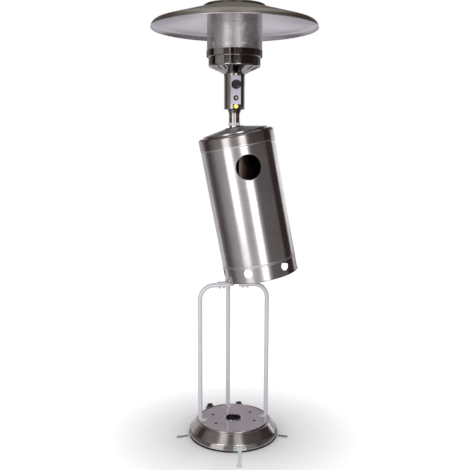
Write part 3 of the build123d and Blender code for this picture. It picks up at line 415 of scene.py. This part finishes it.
# Knob and igniter
# The knob and the igniter's bezel are moulded in dark plastic. The knob's pale mark is filled in,
# and the igniter's cream button is pushed in from the front.
def moulded(name, shade, faded, rough):
    """Injection-moulded plastic: an even grain of 0.6 mm. Colour and gloss drift over 25 mm."""
    plastic, tree, shader, place = new_material(name)
    grain = add_node(tree, "TexVoronoi", {"Vector": place, "Scale": 1 / 0.0006}, "Distance")
    cloud = add_node(tree, "TexNoise", {"Vector": place, "Scale": 40.0, "Detail": 3.0})
    tint = add_node(tree, "Mix", {0: cloud, 6: linear(shade), 7: linear(faded)}, 2, data_type="RGBA")
    gloss = add_node(tree, "MapRange", {"Value": cloud, "To Min": rough, "To Max": rough + 0.15})
    bump = add_node(tree, "Bump", {"Height": grain, "Strength": 0.5, "Distance": 2e-5})
    feed(shader, {"Base Color": tint, "Roughness": gloss, "Normal": bump, "IOR": 1.53})
    return plastic


dress(["knob"], moulded("dark_moulded_knob_plastic", "0d0812", "17101d", 0.4))
dress(["knob_dot"], moulded("lilac_filling_plastic", "cfc9da", "bdb6c9", 0.4))
dress(["igniter_body"], moulded("dark_red_moulded_bezel", "16090c", "240f13", 0.55))
dress(["igniter_button"], moulded("cream_moulded_button", "eadfc4", "dccba6", 0.3))


# Gas inlet
# A brass connector below the controls and the injector inside the burner are turned from bar,
# with rings left by the tool.
brass = spun_metal("turned_brass", "f3e284", "dcc45c", 0.24, 0.0008, spread=0.4)
dress(["gas_inlet", "injector"], brass)


# Gas pipes
# Drawn copper tubes carry gas to the valve and the pilot, and the thermocouple's lead is copper
# too. Heat and fingers have tarnished them.
def drawn_tube(name, clean, tarnish, rough):
    """Drawn tube: smooth and bright, with dull clouds 22 mm wide."""
    metal, tree, shader, place = new_material(name)
    cloud = add_node(tree, "TexNoise", {"Vector": place, "Scale": 45.0, "Detail": 4.0})
    tone = add_node(tree, "MapRange", {"Value": cloud, "From Min": 0.35, "From Max": 0.7})
    tint = add_node(tree, "Mix", {0: tone, 6: linear(clean), 7: linear(tarnish)}, 2, data_type="RGBA")
    gloss = add_node(tree, "MapRange", {"Value": tone, "To Min": rough, "To Max": rough + 0.2})
    feed(shader, {"Base Color": tint, "Metallic": 1.0, "Roughness": gloss})
    return metal


copper = drawn_tube("drawn_copper", "d89a74", "8f5b43", 0.22)
dress(["gas_pipe", "pilot_tube", "thermocouple"], copper)


# Valve and switch
# The gas valve, with its spindle and rod, and the tip-over switch are of zinc alloy. It is cast,
# grey and sandy from the mould.
def cast_metal(name, shade, dull):
    """Cast alloy: a sandy skin of 1 mm pits with low gloss."""
    metal, tree, shader, place = new_material(name)
    sand = add_node(tree, "TexNoise", {"Vector": place, "Scale": 1 / 0.001, "Detail": 3.0})
    tint = add_node(tree, "Mix", {0: sand, 6: linear(dull), 7: linear(shade)}, 2, data_type="RGBA")
    gloss = add_node(tree, "MapRange", {"Value": sand, "To Min": 0.6, "To Max": 0.4})
    bump = add_node(tree, "Bump", {"Height": sand, "Strength": 0.8, "Distance": 1e-4})
    feed(shader, {"Base Color": tint, "Metallic": 1.0, "Roughness": gloss, "Normal": bump})
    return metal


zinc_alloy = cast_metal("sand_cast_zinc_alloy", "b1b0b2", "88878a")
dress(["valve_body", "valve_spindle", "valve_push_rod", "tilt_switch"], zinc_alloy)


# Burner
# The plate, mixing tube, drum and pilot parts under the screen are plain steel that glows in use,
# so heat has tinted them from straw to blue-grey.
def heated_steel(name, plain, straw, blue):
    """Steel that has been hot: clouds of straw and blue, 60 mm wide, over a dull grey skin."""
    metal, tree, shader, place = new_material(name)
    heat = add_node(tree, "TexNoise", {"Vector": place, "Scale": 16.0, "Detail": 3.0})
    tint = add_node(tree, "ValToRGB", {0: heat})
    ramp = tint.node.color_ramp.elements
    ramp[0].position, ramp[0].color = 0.35, linear(plain)
    ramp[1].position, ramp[1].color = 0.7, linear(blue)
    ramp.new(0.55).color = linear(straw)
    gloss = add_node(tree, "MapRange", {"Value": heat, "To Min": 0.3, "To Max": 0.5})
    feed(shader, {"Base Color": tint, "Metallic": 1.0, "Roughness": gloss})
    return metal


tinted = heated_steel("heat_tinted_steel", "98948f", "9c876a", "6c6f7c")
dress(["burner_support", "burner_tube", "burner_drum", "pilot_bracket", "spark_electrode"], tinted)


# Burner bowl
# A slotted bowl is spun with its slope, side and turned-out lip in one sheet, and mirror polished
# outside. Inside it is coloured darker. A polished band stands round its top.
def darken_inside(metal, shade, axis=(0, 0, 1), origin=(0, 0, 0)):
    """Gives the side of a turned sheet that faces its axis another colour."""
    tree = metal.node_tree
    shader = tree.nodes["Principled BSDF"]
    place = add_node(tree, "TexCoord", out="Object")
    facing = add_node(tree, "TexCoord", out="Normal")
    arm = add_node(tree, "VectorMath", {0: place, 1: origin}, operation="SUBTRACT")
    out = add_node(tree, "VectorMath", {0: axis, 1: arm}, operation="CROSS_PRODUCT")
    out = add_node(tree, "VectorMath", {0: out, 1: axis}, operation="CROSS_PRODUCT")
    side = add_node(tree, "VectorMath", {0: out, 1: facing}, "Value", operation="DOT_PRODUCT")
    inside = add_node(tree, "MapRange", {"Value": side, "From Min": -0.001, "From Max": -0.01})
    tint = shader.inputs["Base Color"].links[0].from_socket
    tint = add_node(tree, "Mix", {0: inside, 6: tint, 7: linear(shade)}, 2, data_type="RGBA")
    feed(shader, {"Base Color": tint})


mirror = spun_metal("mirror_polished_bowl_steel", "b0acaa", "9c9896", 0.05, 0.003, spread=0.5)
darken_inside(mirror, "37302c")
dress(["burner_bowl", "burner_band"], mirror)


# Emitter screen
# A sheet punched with square holes is rolled into a tube. Its rows are extruded from one ring, each
# cell is inset and its middle taken out, and the plain margins at both ends stay whole. The holes
# are drawn coarser than real ones, to show.
screen_low, screen_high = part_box("emitter_screen")
columns, rows, margin, land = 132, 31, 0.005, 0.0016
inset, thickness = 0.0002, 0.0008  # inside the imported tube's face, and the punched sheet's own
step = (screen_high[2] - screen_low[2] - 2 * margin) / rows
bpy.ops.object.select_all(action="DESELECT")
bpy.ops.mesh.primitive_circle_add(
    vertices=columns, radius=screen_high[0] - inset, location=(0, 0, screen_low[2])
)
screen = bpy.context.object
screen.name = "perforated_screen"
bpy.ops.object.transform_apply(location=True)
bpy.ops.object.mode_set(mode="EDIT")
bpy.ops.mesh.select_all(action="SELECT")
for rise in [margin] + [step] * rows + [margin]:
    bpy.ops.mesh.extrude_region_move(TRANSFORM_OT_translate={"value": (0, 0, rise)})
bpy.ops.object.mode_set(mode="OBJECT")
for face in screen.data.polygons:
    face.select = screen_low[2] + margin < face.center.z < screen_high[2] - margin
bpy.ops.object.mode_set(mode="EDIT")
bpy.ops.mesh.select_mode(type="FACE")
bpy.ops.mesh.inset(thickness=land, use_individual=True)
bpy.ops.mesh.delete(type="FACE")
bpy.ops.mesh.select_all(action="SELECT")
bpy.ops.mesh.normals_make_consistent(inside=False)
bpy.ops.object.mode_set(mode="OBJECT")
wall = screen.modifiers.new("wall", "SOLIDIFY")
wall.thickness, wall.offset = thickness, -1.0
bpy.ops.object.modifier_apply(modifier="wall")
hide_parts("emitter_screen")
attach(screen, "stand")
punched = spun_metal("punched_screen_steel", "efecec", "d2cecd", 0.38, 0.004, spread=0.5)
screen.data.materials.append(punched)


# Screen lid
# A pressed disc of plain steel closes the screen under the reflector and carries its studs, with
# turned spacers on them. Both are dull from the mill.
lid_steel = spun_metal("pressed_lid_steel", "a39f9c", "86827f", 0.3, 0.003, spread=0.5)
dress(["screen_cap", "stud_spacers"], lid_steel)


# Reflector
# One disc of aluminium is spun into a shallow dish with a rolled rim, and anodised. The spinning
# tool leaves fine rings. The underside is bright, and the upward side is painted olive brown, as
# painted shade.
anodised = spun_metal("spun_anodised_aluminium", "f4f1f8", "e6e2ea", 0.36, 0.004, spread=0.3)
tree = anodised.node_tree
shader = tree.nodes["Principled BSDF"]
facing = add_node(tree, "TexCoord", out="Normal")
lift = add_node(tree, "SeparateXYZ", {0: facing}, 2)
# Painted shade: faces that point up are mixed towards olive brown.
painted_top_shade = add_node(tree, "MapRange", {"Value": lift, "From Min": 0.0, "From Max": 0.12})
bright = shader.inputs["Base Color"].links[0].from_socket
tint = add_node(tree, "Mix", {0: painted_top_shade, 6: bright, 7: linear("bcb5ac")}, 2, data_type="RGBA")
feed(shader, {"Base Color": tint})
dress(["reflector"], anodised)


# Reflector cap, studs and wing nuts
# A cap, spun from thin aluminium, covers the dish's middle and is painted a darker olive brown like
# it, as painted shade.
# Three zinc-plated studs with wing nuts hold both.
# Painted shade: the cap's colour is a darker olive brown.
painted_shade_cap = spun_metal("spun_cap_aluminium", "8a867b", "736f64", 0.26, 0.003, spread=0.6)
dress(["reflector_cap"], painted_shade_cap)
dress(["reflector_studs", "wing_nuts"], plated)


# Bottle cover
# A rolled shell with swaged beads, a spun shoulder and a shallow lid, all of thin stainless sheet
# brushed round. The shoulder and lid are painted darker than the shell, as painted shade. The thin
# sheet waves a little, so the bright bands waver. Each bead carries a painted highlight, a pale
# rough line, and the sheet's inner side is painted a darker brown, as painted shade.
lean = radians(11.0)
lid_hole = (0, 0, 1.59408)  # the cover leans about it
stem = (-sin(lean), 0, cos(lean))
bead_drops, bead_half = (0.090, 0.671, 0.678), 0.0022  # drawn twice as wide as they are, to show
bead_rough = 0.35
# Painted shade: the shoulder and lid have darker tones than the shell.
for piece, name, light, dark in (
    ("cover_shell", "brushed_cover_steel", "dddadc", "c8c3c4"),
    ("cover_cap", "brushed_shoulder_steel", "bdb6b6", "a59e9d"),
    ("cover_lid", "brushed_lid_steel", "c6c0c6", "aea8ae"),
):
    brushed = spun_metal(name, light, dark, 0.21, 0.0022, wave=0.0005, axis=stem, origin=lid_hole)
    tree = brushed.node_tree
    shader = tree.nodes["Principled BSDF"]
    place = add_node(tree, "TexCoord", out="Object")
    arm = add_node(tree, "VectorMath", {0: place, 1: lid_hole}, operation="SUBTRACT")
    drop = add_node(tree, "VectorMath", {0: arm, 1: stem}, "Value", operation="DOT_PRODUCT")
    # Painted highlight: a pale, rough line along each bead.
    painted_bead_highlight = 0.0
    for bead in bead_drops:
        line = add_node(tree, "Math", {0: drop, 1: -bead, 2: bead_half}, operation="COMPARE")
        painted_bead_highlight = add_node(tree, "Math", {0: line, 1: painted_bead_highlight}, operation="MAXIMUM")
    tint = shader.inputs["Base Color"].links[0].from_socket
    tint = add_node(tree, "Mix", {0: painted_bead_highlight, 6: tint, 7: linear("f2f0f1")}, 2, data_type="RGBA")
    gloss = shader.inputs["Roughness"].links[0].from_socket
    gloss = add_node(tree, "Math", {0: painted_bead_highlight, 1: bead_rough, 2: gloss}, operation="MULTIPLY_ADD")
    feed(shader, {"Base Color": tint, "Roughness": gloss})
    # Painted shade: the side of the sheet that faces the axis is a darker brown.
    darken_inside(brushed, "8f7f75", axis=stem, origin=lid_hole)
    dress([piece], brushed)


# Hand hole and grommet
# The hole for a hand is edged by a trim of zinc-plated steel, rolled over the sheet's edge. The
# pole's hole is lined by a moulded grommet of black rubber.
dress(["hand_hole_trim"], zinc_plate("bright_rolled_zinc_trim", "d2cecf", "b4b0b1", 0.004, 0.18))
dress(["lid_grommet"], rubber("moulded_black_rubber", "181615", "33302e", 0.0015))


# Wheels
# Two wheels of hard black plastic turn on a zinc-plated steel axle behind the base. Its bracket is
# folded from steel strip and coated in black powder.
dress(["wheel_left", "wheel_right"], moulded("hard_black_wheel_plastic", "1b1a1c", "282629", 0.42))
dress(["wheel_bracket"], powder_coat("black_baked_powder", "201f20", "191819", "5d5a58", 0.0))
dress(["wheel_axle", "axle_caps"], plated)


# Floor anchors
# Three straps cut and bent from galvanised strip, each with an eye, are held on the band by
# screws. The zinc is pale, with crystals 4 mm wide.
straps = zinc_plate("galvanised_strip", "f4fafb", "dfe5e6", 0.004, 0.45)
dress(["anchor_front", "anchor_left", "anchor_right"], straps)


bpy.context.scene.view_settings.view_transform = "Standard"
